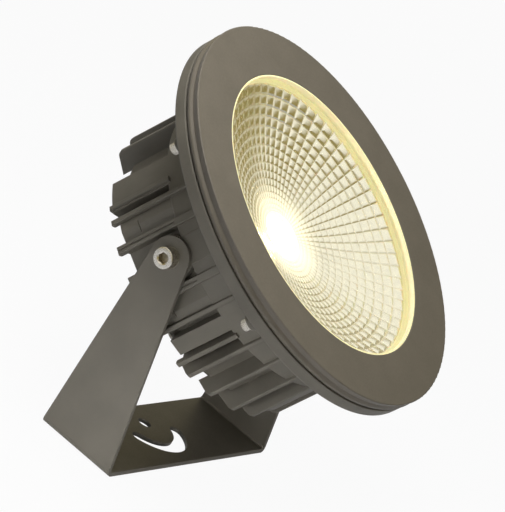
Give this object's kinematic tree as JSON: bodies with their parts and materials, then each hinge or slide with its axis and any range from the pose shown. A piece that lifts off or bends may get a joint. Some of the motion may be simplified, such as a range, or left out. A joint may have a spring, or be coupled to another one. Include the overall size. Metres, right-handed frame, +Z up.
{
  "type": "LED floodlight",
  "caption": "Round LED floodlight: finned die-cast housing with a wide flat bezel and faceted reflector, tilting in a bent-sheet U bracket with a curved aiming slot.",
  "frame": {"origin": "centre of the fixing hole at the underside of the bracket's base, which stands on the ground plane", "axes": "+X along the tilt axis, +Y towards the back of the lamp, +Z up; at rest the beam leans 59.7 degrees above the horizontal, towards -Y"},
  "size_m": [0.2446, 0.2293, 0.2397],
  "materials": {
    "bracket_paint": "satin powder coat, warm dark grey",
    "housing_paint": "die-cast, satin powder coat, warm dark grey",
    "stainless": "bright stainless",
    "front_glass": "clear, flat, polished",
    "reflector_aluminium": "mirror-bright facets",
    "black_silicone": "matt",
    "clear_silicone": "translucent, matt",
    "thermal_pad": "matt",
    "ceramic": "white ceramic",
    "phosphor": "yellow phosphor gel, lit",
    "white_plastic": "moulded",
    "driver_can": "plain sheet",
    "lead_insulation": "extruded",
    "nickel_brass": "nickel plated",
    "nylon": "dark nylon"
  },
  "bodies": {
    "bracket": {"mounting_bracket": "bracket_paint"},
    "lamp_head": {"housing": "housing_paint", "front_bezel": "housing_paint", "rear_cover": "housing_paint", "bezel_gasket": "black_silicone", "glass_gasket": "clear_silicone", "front_glass": "front_glass", "reflector": "reflector_aluminium", "reflector_cushion": "clear_silicone", "thermal_pad": "thermal_pad", "cob_board": "ceramic", "cob_phosphor": "phosphor", "cob_holder": "white_plastic", "cob_holder_screws": "stainless", "cob_leads": "lead_insulation", "lead_grommet": "black_silicone", "driver_case": "driver_can", "driver_screws": "stainless", "terminal_block": "white_plastic", "terminal_screws": "stainless", "mains_leads": "lead_insulation", "bezel_screws": "stainless", "bezel_washers": "stainless", "rear_gasket": "black_silicone", "rear_cover_screws": "stainless", "gland_washer": "black_silicone", "gland_body": "nickel_brass", "gland_locknut": "nickel_brass", "gland_seal": "black_silicone", "gland_cap": "nickel_brass", "pivot_screws": "stainless", "pivot_washers": "nylon"}
  },
  "joints": [
    {"name": "head_tilt", "type": "hinge", "parent": "bracket", "child": "lamp_head", "pos_m": [0, 0, 0.1295], "axis": [1, 0, 0], "range_deg": [-120.3, 59.7]}
  ]
}
